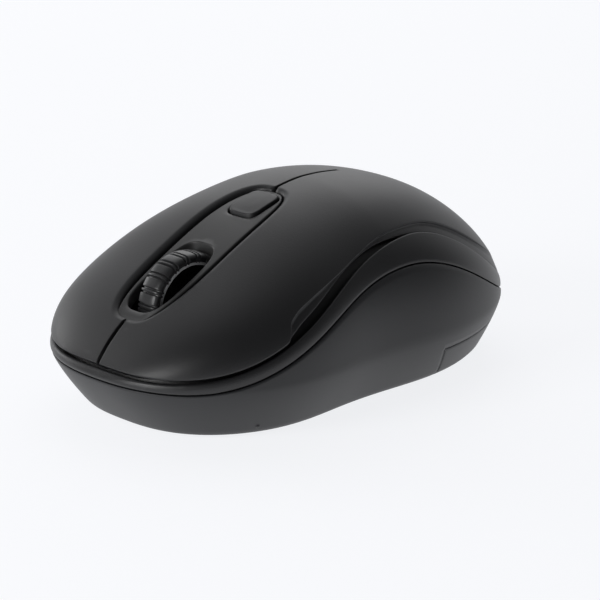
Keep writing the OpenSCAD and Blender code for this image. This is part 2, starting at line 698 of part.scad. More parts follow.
module battery_spring() color(metal) {
    last = coil_turns * coil_steps;
    polyhedron([for (i = [0:last]) each coil_ring(i)],
        concat([[for (k = [0:5]) k]], [[for (k = [5:-1:0]) last * 6 + k]],
               [for (i = [0:last - 1]) for (k = [0:5])
                   let (a = 6 * i + k, b = 6 * i + (k + 1) % 6) each [[a, b + 6, b], [a, a + 6, b + 6]]]));
    translate([-4.6, spring_rear - contact_t, cell_z - 3.4]) cube([9.2, contact_t, 6.8]);
}

module battery_plate() color(metal)
    translate([-4.6, cell_front, cell_z - 3.4]) cube([9.2, contact_t, 6.8]);

module battery_door() color(dark) {
    difference() {
        body_form(0, 36, 8);
        difference() {
            cube(far, center = true);
            door_region(0);
        }
        body_form(base_wall, 30, 6);
    }
    slab(door_y - 4, tongue_front, -tongue_hw, tongue_hw, base_z, floor_z - 0.1);
    // grip ridges under the tail
    for (y = [-36:1.6:-24]) bar([-6, y, base_z + 0.15], [6, y, base_z + 0.15], 0.35);
}

module power_switch() color(darker) difference() {
    slab(power_y - 3.6, power_y + power_travel + 3.6, power_x - 2.2, power_x + 2.2,
         floor_z + 0.02, floor_z + 3.4);
    slab(power_y - knob_l / 2 - 0.3, power_y + knob_l / 2 + power_travel + 0.3,
         power_x - knob_w / 2 - 0.3, power_x + knob_w / 2 + 0.3, floor_z - 1, floor_z + 1.2);
}

module power_slider() color([0.55, 0.55, 0.55])
    slab(power_y - knob_l / 2, power_y + knob_l / 2, power_x - knob_w / 2, power_x + knob_w / 2,
         base_z + 0.2, floor_z + 0.9);

// ---- underside ----
module foot(y, reach) linear_extrude(foot_t)
    intersection() {
        translate([0, y]) square([2 * reach, 4.4], center = true);
        translate([0, y - sign(y) * 40]) circle(42.2, $fn = 160);
    }
module front_feet() color([0.5, 0.5, 0.5]) foot(half_l - tuck_nose - 4.2, 9.5);
module rear_foot() color([0.5, 0.5, 0.5]) foot(-(half_l - tuck_tail - 4.4), 9.5);

module case_screws() color(metal) for (s = screws) pair()
    translate([s[0], s[1], base_z + screw_sink]) difference() {
        union() {
            cylinder(h = 1.4, r = screw_head_r, $fn = 48);
            cylinder(h = s[3] - base_z - screw_sink, r = screw_r, $fn = 32);
        }
        cube([2.2, 0.5, 1.2], center = true);
        cube([0.5, 2.2, 1.2], center = true);
    }

module blank_label() color([0.3, 0.3, 0.3])
    translate([-11, 24, base_z - 0.15]) cube([22, 9.5, 0.15]);

// ---- receiver ----
module receiver_cap() color(darker) difference() {
    translate([dock_x - cap_t / 2, dock_y - cap_w / 2, base_z]) cube([cap_t, cap_w, cap_l]);
    // finger ribs on the two ends
    for (side = [-1, 1]) for (z = [1.4:1.6:cap_l - 1])
        translate([dock_x, dock_y + side * cap_w / 2, base_z + z]) cube([far, 0.8, 0.6], center = true);
}

module receiver_shell() color(metal) difference() {
    translate([dock_x - usb_t / 2, dock_y - usb_w / 2, usb_z]) cube([usb_t, usb_w, usb_l]);
    translate([dock_x - usb_t / 2 + shell_t, dock_y - usb_w / 2 + shell_t, usb_z - 1])
        cube([usb_t - 2 * shell_t, usb_w - 2 * shell_t, usb_l + 2]);
    for (side = [-1, 1]) translate([dock_x, dock_y + side * 2.9, usb_z + usb_l - 5])
        cube([far, 2.5, 2.2], center = true);
}

module receiver_tongue() color([0.9, 0.9, 0.88])
    translate([dock_x - usb_t / 2 + shell_t, dock_y - usb_w / 2 + shell_t + 0.1, usb_z])
        cube([1.8, usb_w - 2 * shell_t - 0.2, usb_l - 0.8]);

module receiver_contacts() color([0.85, 0.7, 0.3])
    for (y = [-3.5, -1, 1, 3.5])
        translate([dock_x - usb_t / 2 + shell_t + 1.8, dock_y + y - 0.5, usb_z + 3])
            cube([0.15, 1, usb_l - 4.4]);

base_shell();
mid_frame();
top_cover();
left_button();
right_button();
centre_console();
speed_key();
wheel_hub();
wheel_tyre();
wheel_carrier();
detent_spring();
ir_emitter();
ir_detector();
main_board();
left_microswitch();
left_plunger();
right_microswitch();
right_plunger();
middle_switch();
middle_plunger();
key_board();
key_switch();
key_plunger();
optical_sensor();
sensor_lens();
sensor_led();
controller_chip();
crystal();
capacitors();
battery_cell();
battery_spring();
battery_plate();
battery_door();
power_switch();
power_slider();
front_feet();
rear_foot();
case_screws();
blank_label();
receiver_cap();
receiver_shell();
receiver_tongue();
receiver_contacts();
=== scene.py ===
"""Compact wireless computer mouse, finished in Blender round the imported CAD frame.

The shell is one formula, in millimetres: a plan outline, a crown profile along the body and a
rounded section at each station. Every shell piece is a strip of that form, with real edges.
"""
import json
import math

import bmesh
import bpy
import numpy as np
from mathutils import Matrix, Vector, geometry


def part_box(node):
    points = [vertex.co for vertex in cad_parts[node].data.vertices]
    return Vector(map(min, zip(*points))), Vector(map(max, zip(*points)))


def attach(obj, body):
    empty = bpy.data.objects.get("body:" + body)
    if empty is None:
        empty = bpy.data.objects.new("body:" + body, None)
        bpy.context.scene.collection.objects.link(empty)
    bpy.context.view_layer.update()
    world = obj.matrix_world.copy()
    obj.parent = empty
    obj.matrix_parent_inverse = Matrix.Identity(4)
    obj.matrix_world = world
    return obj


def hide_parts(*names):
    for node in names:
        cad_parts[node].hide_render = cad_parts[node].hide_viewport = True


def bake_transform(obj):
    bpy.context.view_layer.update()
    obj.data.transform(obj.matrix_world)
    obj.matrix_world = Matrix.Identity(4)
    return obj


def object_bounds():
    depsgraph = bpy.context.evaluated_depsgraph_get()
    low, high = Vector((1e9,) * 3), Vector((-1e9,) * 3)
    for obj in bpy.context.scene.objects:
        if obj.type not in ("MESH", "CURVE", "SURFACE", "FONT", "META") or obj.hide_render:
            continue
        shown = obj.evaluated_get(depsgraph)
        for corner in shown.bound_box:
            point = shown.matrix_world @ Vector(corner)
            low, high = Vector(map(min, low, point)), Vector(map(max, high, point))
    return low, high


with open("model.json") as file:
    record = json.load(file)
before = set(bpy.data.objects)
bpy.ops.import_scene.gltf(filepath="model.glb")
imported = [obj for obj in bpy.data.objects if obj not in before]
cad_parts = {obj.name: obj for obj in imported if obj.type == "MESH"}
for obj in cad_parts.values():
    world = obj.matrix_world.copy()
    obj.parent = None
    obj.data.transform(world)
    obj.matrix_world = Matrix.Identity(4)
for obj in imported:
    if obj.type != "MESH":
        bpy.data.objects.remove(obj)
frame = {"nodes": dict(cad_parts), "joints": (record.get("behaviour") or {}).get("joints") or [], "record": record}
nodes = frame["nodes"]
cad_low, cad_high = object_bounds()
MM = 0.001


def span(node, axis):
    """Lowest and highest place of a CAD node along an axis, in millimetres."""
    low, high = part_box(node)
    return low[axis] / MM, high[axis] / MM


def joint(name):
    """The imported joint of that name."""
    return next(j for j in frame["joints"] if j["name"] == name)


# ---------------------------------------------------------------- the outer form
HALF_L = (cad_high[1] - cad_low[1]) / MM / 2
BODY_H = cad_high[2] / MM
PLAN_W = 65.0          # width of the plan curve, before the waist is taken off
WIDE_Y = 7.0           # station of the widest section
APEX_Y = -4.5          # station of the highest point
BELT = 11.5            # height of the widest line
NOSE_RISE, TAIL_RISE = 0.2, 0.1
WAIST = 2.9
BASE_Z = span("base_shell", 2)[0]
TUCK = {"side": 5.9, "nose": 7.8, "tail": 4.7}


def smooth(t):
    t = np.clip(t, 0, 1)
    return t * t * (3 - 2 * t)


def half_width(y):
    """Half width of the plan outline at station y."""
    y = np.asarray(y, float)
    front = y >= WIDE_Y
    t = np.where(front, (y - WIDE_Y) / (HALF_L - WIDE_Y), (WIDE_Y - y) / (HALF_L + WIDE_Y))
    t = np.clip(t, 0, 1)
    n = np.where(front, 2.45, 2.35)
    curve = PLAN_W / 2 * (1 - t**n) ** (1 / n)
    return np.maximum(curve - WAIST * np.exp(-(((y - 3) / 18) ** 2)) * (1 - t**4), 0)


def top_z(y):
    """Height of the centre line of the crown at station y."""
    y = np.asarray(y, float)
    front = np.clip((y - APEX_Y) / (HALF_L - APEX_Y), 0, 1)
    rear = np.clip((APEX_Y - y) / (HALF_L + APEX_Y), 0, 1)
    nose, tail = BELT + NOSE_RISE, BELT + TAIL_RISE
    ahead = nose + (BODY_H - nose) * (1 - front**1.55) ** 0.69 - 1.5 * np.exp(-(((y - 30) / 14) ** 2))
    behind = tail + (BODY_H - tail) * (1 - rear**2.1) ** 0.65
    return np.where(y >= APEX_Y, ahead, behind)


def side_power(y):
    return 2.5 + 0.7 * y / HALF_L


def crown_power(y):
    return 2.65 + 0.65 * y / HALF_L


def tuck(y):
    t = y / HALF_L
    end = np.where(t > 0, TUCK["nose"], TUCK["tail"])
    return TUCK["side"] + (end - TUCK["side"]) * t * t


def dome_z(x, y):
    """Height of the crown above a plan point."""
    w = np.maximum(half_width(y), 1e-6)
    r = np.clip(1 - (np.abs(x) / w) ** side_power(y), 0, 1)
    return BELT + (top_z(y) - BELT) * r ** (1 / crown_power(y))


def dome_x(y, z):
    """Half width of the crown at station y and height z."""
    rise = np.clip((z - BELT) / np.maximum(top_z(y) - BELT, 1e-6), 0, 1)
    return half_width(y) * (1 - rise ** crown_power(y)) ** (1 / side_power(y))


def form_value(points):
    """Below 0 inside the crown, above 0 outside it."""
    x, y, z = points[..., 0], points[..., 1], points[..., 2]
    w = np.maximum(half_width(y), 1e-4)
    rise = np.maximum(z - BELT, 0) / np.maximum(top_z(y) - BELT, 1e-4)
    value = (np.abs(x) / w) ** side_power(y) + rise ** crown_power(y) - 1
    return np.where(np.abs(y) >= HALF_L, 1 + np.abs(y), value)


def dome_normal(points):
    """Unit normals of the crown, from the form's slope."""
    step = 1e-3
    grad = np.empty_like(points)
    for axis in range(3):
        d = np.zeros(3)
        d[axis] = step
        grad[..., axis] = form_value(points + d) - form_value(points - d)
    return unit(grad)


def unit(v):
    return v / np.maximum(np.linalg.norm(v, axis=-1, keepdims=True), 1e-12)


def onto_dome(points):
    """Points moved onto the crown along rays from the body's spine."""
    spine = points * np.array([0, 0.62, 0]) + np.array([0, 0, BELT - 2.0])
    low = np.full(points.shape[:-1], 0.3)
    high = np.full(points.shape[:-1], 3.0)
    for _ in range(46):
        mid = (low + high) / 2
        inside = form_value(spine + (points - spine) * mid[..., None]) < 0
        low = np.where(inside, mid, low)
        high = np.where(inside, high, mid)
    return spine + (points - spine) * ((low + high) / 2)[..., None]


# ---------------------------------------------------------------- lines round the body
SEAM = dict(at=-6.7, peak=26.7, nose=10.9, tail=10.4, ahead=54.5, behind=47.0)
BAND = dict(at=-9.9, peak=31.6, nose=12.9, tail=10.4, ahead=59.5, behind=48.5)
GROOVE_W, GROOVE_EXTRA = 1.05, 0.8
NOTCH_Y = 27.8         # where the step above the groove begins


def line(y, at, peak, nose, tail, ahead, behind):
    """A wavy seam: level at nose and tail, with one swell on the flank."""
    s = np.where(y > at, (y - at) / ahead, (at - y) / behind)
    low = np.where(y > at, nose, tail)
    return low + (peak - low) * (1 + np.cos(np.pi * np.clip(s, 0, 1))) / 2


def base_seam(y):
    return line(y, **SEAM)


def band_seam(y):
    return line(y, **BAND)


def cover_edge(y):
    """Lower edge of the top skin."""
    gap = GROOVE_W * smooth((y + 13) / 14)
    return band_seam(y) + gap + GROOVE_EXTRA * smooth((28 - y) / 5) * smooth((y + 4) / 18) + 0.12


def land_height(y):
    """Height of the stepped land between the lip and the cover's edge."""
    rear = 0.07 * np.maximum(0, 4 - y)
    return (0.45 + rear + 1.75 * smooth((y - 8) / 16)) * smooth((NOTCH_Y - y) / 2.2)


def step_depth(y):
    """Depth of that step, which fades out towards the tail."""
    return 0.5 * smooth((NOTCH_Y + 0.3 - y) / 1.6) * smooth((y + 44) / 16)


def end_station(height, sign):
    """Station nearest an end where a line still lies on the crown."""
    inner, outer = 0.0, sign * HALF_L
    for _ in range(50):
        mid = (inner + outer) / 2
        if top_z(mid) > height(mid):
            inner = mid
        else:
            outer = mid
    return inner


def flank_line(height, count=1600):
    """Dense polyline of a height line on the left flank, from nose to tail."""
    nose, tail = end_station(height, 1), end_station(height, -1)
    f = np.linspace(0, 1, count)
    y = nose + (tail - nose) * (1 - np.cos(np.pi * f)) / 2
    z = height(y)
    x = -dome_x(y, z)
    x[0] = x[-1] = 0
    return np.stack([x, y, z], 1)


def arc(points):
    """Length along a polyline at each of its points."""
    return np.concatenate([[0], np.cumsum(np.linalg.norm(np.diff(points, axis=0), axis=1))])


def at_length(points, where):
    """Points of a polyline at given lengths along it."""
    along = arc(points)
    return np.stack([np.interp(where, along, points[:, k]) for k in range(3)], 1)


# ---------------------------------------------------------------- mesh helpers
def finish_mesh(obj, crease_angle=None):
    """Smooth shading, with edges sharper than crease_angle (degrees) kept sharp."""
    mesh = obj.data
    mesh.shade_smooth()
    if crease_angle is not None:
        mesh.set_sharp_from_angle(angle=math.radians(crease_angle))


def new_piece(name, vertices, faces, body, finish, replaced=(), crease_angle=None):
    """A mesh piece from millimetre points, riding on a body and taking a finish."""
    mesh = bpy.data.meshes.new(name)
    mesh.from_pydata((np.asarray(vertices) * MM).tolist(), [], [list(map(int, f)) for f in faces])
    mesh.validate()
    obj = bpy.data.objects.new(name, mesh)
    bpy.context.scene.collection.objects.link(obj)
    mesh.materials.append(MATERIALS[finish])
    clean = bmesh.new()
    clean.from_mesh(mesh)
    bmesh.ops.remove_doubles(clean, verts=clean.verts, dist=2e-6)
    bmesh.ops.recalc_face_normals(clean, faces=clean.faces)
    clean.to_mesh(mesh)
    clean.free()
    finish_mesh(obj, crease_angle)
    if body:
        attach(obj, body)
    if replaced:
        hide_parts(*replaced)
    return obj


def grid_faces(columns, rows, loop_rows=False, loop_columns=False, start=0):
    """Quads of a grid whose points run down each column."""
    faces = []
    for i in range(columns if loop_columns else columns - 1):
        for j in range(rows if loop_rows else rows - 1):
            i2, j2 = (i + 1) % columns, (j + 1) % rows
            faces.append([start + i * rows + j, start + i2 * rows + j,
                          start + i2 * rows + j2, start + i * rows + j2])
    return faces


def mirrored(vertices, faces):
    """A half and its mirror image across x = 0, as one mesh."""
    other = vertices * np.array([-1, 1, 1])
    count = len(vertices)
    return np.concatenate([vertices, other]), faces + [[count + i for i in f[::-1]] for f in faces]


# ---------------------------------------------------------------- the top skin
STRIP_HW, STRIP_REAR, STRIP_FRONT = 8.6, 2.55, 43.4
SLIT_X = -0.5          # the buttons' surface ends here, and its edge rolls over to the slit
CUT_Y = -14.3          # where the fingers join the palm
PALM_END = -40.0
SKIN_T = 1.7
CELL = 0.85            # size of the skin's quads

# Edge profiles: distance out from the surface's end, and depth below it
CHAMFER = np.array([(0.10, 0.01), (0.25, 0.04), (0.45, 0.11), (0.70, 0.23), (0.98, 0.42),
                    (1.10, 0.55), (1.18, 0.75), (1.23, 1.00), (1.25, 1.6), (1.25, 2.7)])
SLIT_EDGE = np.array([(0.02, 0.002), (0.045, 0.01), (0.07, 0.02), (0.095, 0.035), (0.12, 0.06),
                      (0.14, 0.09), (0.155, 0.13), (0.165, 0.18), (0.17, 0.3), (0.17, 2.4)])
PLAIN_EDGE = np.array([(0.06, 0.006), (0.12, 0.025), (0.18, 0.05), (0.23, 0.09), (0.28, 0.14),
                       (0.32, 0.21), (0.345, 0.28), (0.36, 0.38), (0.36, 0.7), (0.36, 1.9)])
LIP = np.array([(0.05, 0.005), (0.12, 0.03), (0.18, 0.08), (0.22, 0.16), (0.24, 0.3)])
LAND = np.array([(0.0, 1.0), (0.35, 1.0), (0.8, 1.0), (0.94, 1.1), (1.0, 1.5)])


def superellipse(hw, rear, front, power, start, end, count=900):
    """Part of a rounded outline in plan, from one angle to another in degrees."""
    a = np.radians(np.linspace(start, end, count))
    c, s = np.cos(a), np.sin(a)
    x = hw * np.sign(c) * np.abs(c) ** power
    y = (rear + front) / 2 + (front - rear) / 2 * np.sign(s) * np.abs(s) ** power
    return x, y


def length_at_y(points, y):
    """Length along a flank polyline where it passes station y."""
    along = arc(points)
    return np.interp(-y, -points[:, 1], along)


def paired_columns(inner, outer, pairs, cell):
    """Points along two lines, matched at the given pairs of lengths."""
    a, b = [], []
    for (i0, o0), (i1, o1) in zip(pairs[:-1], pairs[1:]):
        count = max(2, int(math.ceil(max(abs(i1 - i0), abs(o1 - o0)) / cell)))
        t = np.linspace(0, 1, count + 1)[(1 if a else 0):]
        a += list(i0 + (i1 - i0) * t)
        b += list(o0 + (o1 - o0) * t)
    return at_length(inner, a), at_length(outer, b)


def skin_rows(inner, outer, rows):
    """Grid of points on the crown between two lines of columns."""
    r = np.linspace(0, 1, rows)[None, :, None]
    points = inner[:, None, :] * (1 - r) + outer[:, None, :] * r
    middle = onto_dome(points[:, 1:-1])
    return np.concatenate([inner[:, None], middle, outer[:, None]], axis=1)


def outer_edge(lip, edge):
    """Rows beyond the lip: fillet, step, land, the cover's own edge and its wall."""
    n_lip, n_edge = dome_normal(lip), dome_normal(edge)
    whole = flank_line(cover_edge, 4000)
    place = length_at_y(whole, edge[:, 1])
    limit = arc(whole)[-1]
    along = unit(lip_points(at_length(whole, np.minimum(place + 0.4, limit)))
                 - lip_points(at_length(whole, np.maximum(place - 0.4, 0))))
    out = unit(np.cross(n_lip, along))
    out *= np.sign(np.sum(out * np.array([-1, 0, -1.0]), axis=1, keepdims=True) + 1e-9)
    y = edge[:, 1]
    depth = step_depth(y)[:, None]
    wide = smooth(np.linalg.norm(edge - lip, axis=1) / 0.9)[:, None]
    rows = []
    for k, (e, h) in enumerate(LIP):
        stepped = lip + out * e - n_lip * (h / LIP[-1][1] * depth * 0.98 if k > 2 else h * depth / 0.5)
        plain = lip + out * PLAIN_EDGE[k][0] - n_lip * PLAIN_EDGE[k][1]
        rows.append(plain * (1 - wide) + stepped * wide)
    foot = rows[-1]
    for k, (t, h) in enumerate(LAND):
        base = lip + out * LIP[-1][0] * wide - n_lip * depth
        level = base * (1 - t) + (edge - n_edge * depth) * t - n_edge * (h - 1) * 0.45
        plain = lip + out * PLAIN_EDGE[5 + k][0] - n_lip * PLAIN_EDGE[5 + k][1]
        rows.append(plain * (1 - wide) + level * wide)
    inward = rows[-1] - n_edge * 1.4
    rows[-1] = rows[-1] * 1.0
    rows.append(inward)
    return np.stack(rows, axis=1), foot


def inner_edge(points, towards, profile):
    """Rows that roll over from the surface's end, towards a direction in the surface."""
    n = dome_normal(points)
    t = unit(towards - n * np.sum(towards * n, axis=-1, keepdims=True))
    return np.stack([points + t * e - n * h for e, h in profile[::-1]], axis=1)


def closed_columns(edge_in, surface, edge_out):
    """Whole columns: inner wall, outer surface, outer wall, then the inside of the skin."""
    inside = surface[:, ::-1] - dome_normal(surface[:, ::-1]) * SKIN_T
    parts = [p for p in (edge_in, surface, edge_out, inside) if p is not None]
    return np.concatenate(parts, axis=1)


def left_finger():
    """Columns of the left button's skin, from the front slit round to the palm."""
    x, y = superellipse(STRIP_HW, STRIP_REAR, STRIP_FRONT, 2 / 3, 90, 270)
    keep = x <= SLIT_X
    opening = np.stack([x[keep], y[keep], dome_z(x[keep], y[keep])], 1)
    slit_y = np.linspace(opening[-1, 1], CUT_Y, 60)
    slit_x = np.full_like(slit_y, SLIT_X)
    slit = np.stack([slit_x, slit_y, dome_z(slit_x, slit_y)], 1)

    edge = flank_line(cover_edge, 4000)
    lip = flank_line(lambda v: cover_edge(v) + land_height(v), 4000)
    start = np.argmax(edge[:, 0] < SLIT_X)
    edge_at = edge[start:]
    opening_len = arc(opening)[-1]

    def on_opening(station):
        side = opening[:, 1] - station
        return arc(opening)[np.argmax(side < 0)]

    pairs = [(0, 0), (on_opening(38), length_at_y(edge_at, 43)),
             (on_opening(31), length_at_y(edge_at, 29)), (on_opening(25.5), length_at_y(edge_at, 24.3)),
             (on_opening(8), length_at_y(edge_at, 7)), (opening_len, length_at_y(edge_at, -2))]
    parts_i, parts_o = [], []
    for k, (a, b) in enumerate(zip(pairs[:-1], pairs[1:])):
        i, o = paired_columns(opening, edge_at, [a, b], 0.3 if k == 2 else CELL)
        parts_i.append(i if k == 0 else i[1:])
        parts_o.append(o if k == 0 else o[1:])
    inner_a, edge_a = np.concatenate(parts_i), np.concatenate(parts_o)
    inner_b, edge_b = paired_columns(slit, edge_at, [(0, length_at_y(edge_at, -2)),
                                                     (arc(slit)[-1], length_at_y(edge_at, CUT_Y))], CELL)
    inner, edge = np.concatenate([inner_a, inner_b]), np.concatenate([edge_a, edge_b])
    lip = lip_points(edge)

    tangent = unit(np.gradient(inner_a, axis=0))
    towards_a = np.stack([-tangent[:, 1], tangent[:, 0], 0 * tangent[:, 0]], 1)
    towards_a *= np.sign(np.sum(towards_a * (np.array([0, 23, 0]) - inner_a * [1, 1, 0]), axis=1,
                                keepdims=True))
    towards_a[0], towards_a[-1] = (0, -1, 0), (0, 1, 0)
    edge_in = np.concatenate([inner_edge(inner_a, towards_a, CHAMFER),
                              inner_edge(inner_b, np.tile([1.0, 0, 0], (len(inner_b), 1)), SLIT_EDGE)])
    surface = skin_rows(inner, lip, 40)
    edge_out, _ = outer_edge(lip, edge)
    columns = closed_columns(edge_in, surface, edge_out)
    front = [columns[:1] + np.array([e, 0, -h * 0.9]) for e, h in SLIT_EDGE[:8][::-1]]
    return np.concatenate(front + [columns]), len(inner_a) + 8


def lip_points(edge):
    """The lip above each point of the cover's edge."""
    y = edge[:, 1]
    height = edge[:, 2] + land_height(y)
    x = np.where(land_height(y) < 1e-6, edge[:, 0], -dome_x(y, height))
    return np.stack([x, y, height], 1)


def palm(rows_in):
    """Columns of the left half of the palm, from the slit's end to the tail."""
    inner_y = np.linspace(CUT_Y, PALM_END, 200)
    inner_x = SLIT_X * smooth((inner_y - PALM_END) / 4)
    centre = np.stack([inner_x, inner_y, dome_z(inner_x, inner_y)], 1)
    edge = flank_line(cover_edge, 4000)
    tail = arc(edge)[-1]
    inner, edge = paired_columns(centre, edge, [(0, length_at_y(edge, CUT_Y)), (arc(centre)[-1], tail)],
                                 CELL)
    edge[-1, 0] = 0
    lip = lip_points(edge)
    lip[-1, 0] = 0
    surface = skin_rows(inner, lip, 40)
    surface[-1, :, 0] = 0
    edge_out, _ = outer_edge(lip, edge)
    edge_out[-1, :, 0] = 0
    share = np.linspace(0, 1, rows_in + 1)[None, :-1]
    x = inner[:, :1] * share
    y = np.repeat(inner[:, 1:2], rows_in, axis=1)
    return closed_columns(np.stack([x, y, dome_z(x, y)], -1), surface, edge_out)


def top_skin():
    """The one-piece look of the top: each half is one mesh, a finger running on into the palm."""
    finger, _ = left_finger()
    columns = np.concatenate([finger, palm(len(CHAMFER))])
    count, rows = columns.shape[:2]
    faces = grid_faces(count, rows, loop_rows=True)
    faces += [list(range(rows))]
    for side, name, hidden in ((1, "left_button", ("left_button", "top_cover")),
                               (-1, "right_button", ("right_button",))):
        points = columns.reshape(-1, 3) * np.array([side, 1, 1])
        obj = new_piece(name + "_skin", points, faces, None, "top_black", hidden)
        level_middle(obj)
        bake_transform(obj)


def level_middle(obj):
    """Normals on the centre line lie in the middle plane, so that the two halves meet unseen."""
    mesh = obj.data
    count = len(mesh.loops)
    normals = np.empty(count * 3)
    mesh.corner_normals.foreach_get("vector", normals)
    normals = normals.reshape(-1, 3)
    corner = np.empty(count, int)
    mesh.loops.foreach_get("vertex_index", corner)
    points = np.empty(len(mesh.vertices) * 3)
    mesh.vertices.foreach_get("co", points)
    points = points.reshape(-1, 3) / MM
    face_of = np.repeat(np.arange(len(mesh.polygons)), [p.loop_total for p in mesh.polygons])
    flat = np.array([tuple(p.normal) for p in mesh.polygons])[face_of]
    at = points[corner]
    true = dome_normal(at)
    true[:, 0] = 0
    true = unit(true)
    change = (np.abs(at[:, 0]) < 1e-4) & (at[:, 1] < CUT_Y + 0.01) & (np.sum(flat * true, 1) > 0.6)
    normals[change] = true[change]
    mesh.normals_split_custom_set(normals.tolist())


# ---------------------------------------------------------------- the band and the lower shell
def form_points(y, z, depth):
    """Left-flank points of the whole form at given stations, heights and depths."""
    step = 1e-4
    slope = (half_width(np.minimum(y + step, HALF_L)) - half_width(np.maximum(y - step, -HALF_L)))
    slope = slope / (np.minimum(y + step, HALF_L) - np.maximum(y - step, -HALF_L))
    n = np.sqrt(1 + slope**2)
    off = tuck(y) * (1 - np.minimum(z / BELT, 1)) ** 1.25 + depth
    x = dome_x(y, z) - off / n
    return np.stack([-np.maximum(x, 0), y + off * slope / n, z], -1)


def ring_row(height, depth, f):
    """One row round the left flank, from nose to tail, at a height line and a depth."""
    nose, tail = end_station(height, 1), end_station(height, -1)
    y = nose + (tail - nose) * (1 - np.cos(np.pi * f)) / 2
    points = form_points(y, height(y), depth(y) if callable(depth) else depth)
    points[f <= 0, 0] = 0
    points[f >= 1, 0] = 0
    return points


def proud(points, lift):
    """A grid of points moved out along its own normals."""
    a = np.gradient(points, axis=0)
    b = np.gradient(points, axis=1)
    n = unit(np.cross(a, b))
    n *= np.sign(np.sum(n * (points - np.array([0, 0, 12.0]) - [0, 0.6, 0] * points), -1, keepdims=True))
    moved = points + n * lift
    moved[[0, -1], :, 0] = points[[0, -1], :, 0]
    return moved


def band():
    """The wavy frame between the top skin and the lower shell."""
    f = np.linspace(0, 1, 250)

    def share(y):
        return np.clip((band_seam(y) - base_seam(y)) / 1.5, 0, 1)

    def edge_r(y):
        return 0.13 + 0.45 * smooth((y - 20) / 12)

    rows = []
    for up, depth in ((0.16, 3.3), (0.16, 0.25), (0.20, 0.10), (0.34, 0.01)):
        rows.append(ring_row(lambda y: base_seam(y) + up * share(y), depth, f))
    for t in (0.12, 0.3, 0.5, 0.7, 0.88):
        rows.append(ring_row(lambda y: base_seam(y) + 0.34 * share(y)
                             + (band_seam(y) - base_seam(y) - 0.34 * share(y)
                                - edge_r(y) * share(y)) * t,
                             -0.10 * 4 * t * (1 - t), f))
    for a in np.radians([0, 22, 45, 68, 90]):
        rows.append(ring_row(lambda y: band_seam(y) - edge_r(y) * (1 - math.sin(a)) * share(y),
                             lambda y: edge_r(y) * (1 - math.cos(a)), f))
    rows.append(ring_row(band_seam, lambda y: edge_r(y) + 0.18, f))
    rows.append(ring_row(lambda y: band_seam(y) - 0.12 * share(y), lambda y: edge_r(y) + 0.3, f))
    rows.append(ring_row(lambda y: band_seam(y) - 1.5 * share(y), lambda y: edge_r(y) + 0.5, f))
    rows.append(ring_row(lambda y: band_seam(y) - 1.5 * share(y), 2.3, f))
    rows.append(ring_row(lambda y: cover_edge(y) + 0.9, 2.6, f))
    rows.append(ring_row(lambda y: cover_edge(y) + 0.9, 3.3, f))
    points = np.stack(rows, 1)
    count, height = points.shape[:2]
    v, faces = mirrored(points.reshape(-1, 3), grid_faces(count, height, loop_rows=True))
    new_piece("middle_band", v, faces, "root", "frame_black", ("mid_frame",), 40)


SKIN_LIFT = 0.08       # how far the smooth skins stand off the CAD base
DOOR_Y, DOOR_TOP, DOOR_LOW_Y, DOOR_LOW_Z = -16.3, 7.6, -18.0, 2.4
DOOR_GAP = 0.22        # running gap above the door
EDGE_TOP = 0.95        # height where the wall starts to round into the underside
FOOT_SINK = 0.02
FOOT_EDGE = (          # height above the underside, distance in from the wall
    (0.62, 0.32), (0.34, 0.62), (0.12, 0.98), (0.02, 1.4), (0.0, 1.9), (0.0, 3.2))


def door_edge(z):
    """Station of the door's slanted front edge at a height."""
    return DOOR_Y + (DOOR_LOW_Y - DOOR_Y) * np.clip((DOOR_TOP - z) / (DOOR_TOP - DOOR_LOW_Z), 0, 1)


def lower_skin():
    """Smooth outer skin of the base, from the seam round to the underside."""
    lift = SKIN_LIFT
    f = np.linspace(0, 1, 250)
    gap = 0.12

    def to(height):
        return ring_row(height, 0, f)

    cut = DOOR_TOP + DOOR_GAP
    rows = [ring_row(lambda y: base_seam(y) - gap, 1.6, f),
            ring_row(lambda y: base_seam(y) - gap, 0.2, f),
            ring_row(lambda y: base_seam(y) - gap - 0.05, 0.06, f)]
    for t in np.linspace(0, 1, 16):
        rows.append(to(lambda y: base_seam(y) - gap - 0.22 + (cut - base_seam(y) + gap + 0.22) * t))
    upper = np.stack(rows, 1)
    upper[:, 3:] = proud(upper[:, 3:], lift)
    # columns of the front part follow the door's slanted edge below its top
    y = upper[:, -1, 1]
    last = int(np.argmin(np.abs(y - DOOR_Y)))
    front = upper[:last + 1]
    base = front[:, -1]
    lower = [base]
    y_base = np.array([HALF_L * math.cos(math.pi * v) for v in f[:last + 1]])
    y_base[-1] = DOOR_Y
    for t in np.linspace(0, 1, 15)[1:]:
        z = cut + (BASE_Z + EDGE_TOP - cut) * t
        y_here = y_base + (door_edge(z) + 0.2 - DOOR_Y) * ((HALF_L - y_base) / (HALF_L - DOOR_Y)) ** 3
        p = form_points(y_here, np.full_like(y_here, z), 0)
        p[0, 0] = 0
        lower.append(p)
    wall = lower[-1]
    inward = unit((form_points(y_here, np.full_like(y_here, z), 2.0) - wall))
    for up, inside in FOOT_EDGE:
        p = wall + inward * inside
        p[:, 2] = BASE_Z + up - FOOT_SINK
        p[0, 0] = 0
        lower.append(p)
    lower = np.stack(lower, 1)
    lower[:, 1:] = proud(lower, lift)[:, 1:]
    lower[0, :, 0] = 0
    vertices = np.concatenate([upper.reshape(-1, 3), lower.reshape(-1, 3)])
    faces = grid_faces(*upper.shape[:2])
    faces += grid_faces(*lower.shape[:2], start=upper.shape[0] * upper.shape[1])
    v, faces = mirrored(vertices, faces)
    obj = new_piece("lower_skin", v, faces, "root", "base_black", (), 50)
    thicken(obj, 0.5)


